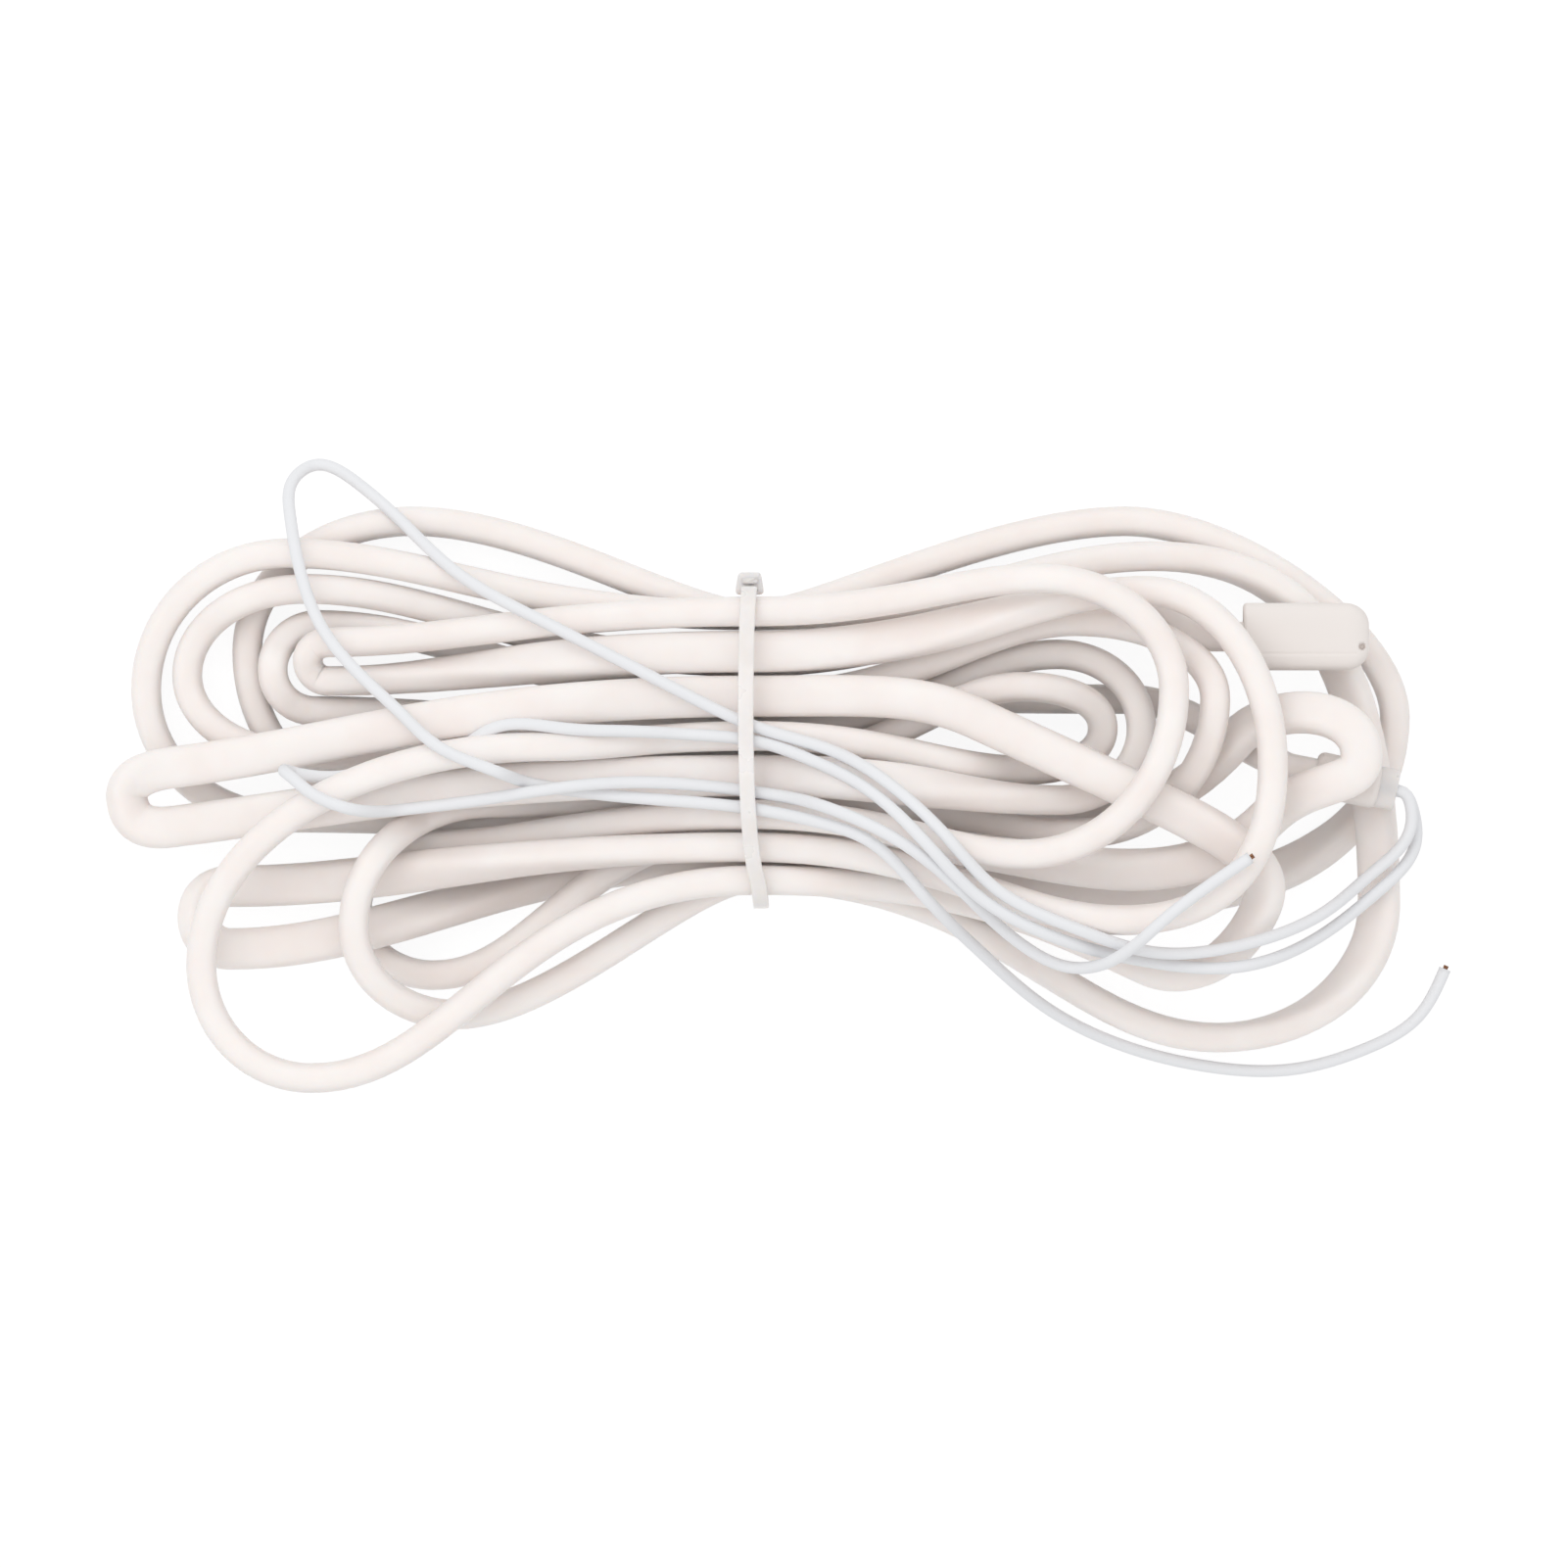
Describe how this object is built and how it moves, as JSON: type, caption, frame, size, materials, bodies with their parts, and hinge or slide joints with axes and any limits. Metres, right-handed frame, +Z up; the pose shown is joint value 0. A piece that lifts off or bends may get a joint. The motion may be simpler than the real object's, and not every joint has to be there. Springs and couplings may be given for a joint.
{
  "type": "drain line heating cable",
  "caption": "Flat silicone heating cable for a drain line, folded in a hank with a cable tie round its waist, with a moulded end seal and a splice to thin cold lead wires.",
  "frame": {"origin": "on the surface that the hank lies on, at the middle of its tied waist", "axes": "+X along the hank towards its moulded ends, +Y across it towards the head of the tie, +Z up"},
  "size_m": [0.2264, 0.1065, 0.0434],
  "materials": {
    "cord_silicone": "satin, warm off-white, slightly translucent",
    "moulded_silicone": "satin, a little pinker than the cord",
    "lead_silicone": "satin, cool white",
    "clear_sleeve": "smooth, translucent",
    "nylon": "smooth natural nylon, milky",
    "copper": "bare copper",
    "tinned_copper": "tinned"
  },
  "bodies": {
    "root": {"heater_cord": "cord_silicone", "seal_end_cores": "copper", "bridge_crimp": "tinned_copper", "end_seal": "moulded_silicone", "splice_end_cores": "copper", "butt_crimp_1": "tinned_copper", "butt_crimp_2": "tinned_copper", "splice_cover": "moulded_silicone", "splice_sleeve": "clear_sleeve", "lead_1_insulation": "lead_silicone", "lead_1_conductor": "copper", "lead_2_insulation": "lead_silicone", "lead_2_conductor": "copper", "cable_tie": "nylon"}
  },
  "joints": []
}
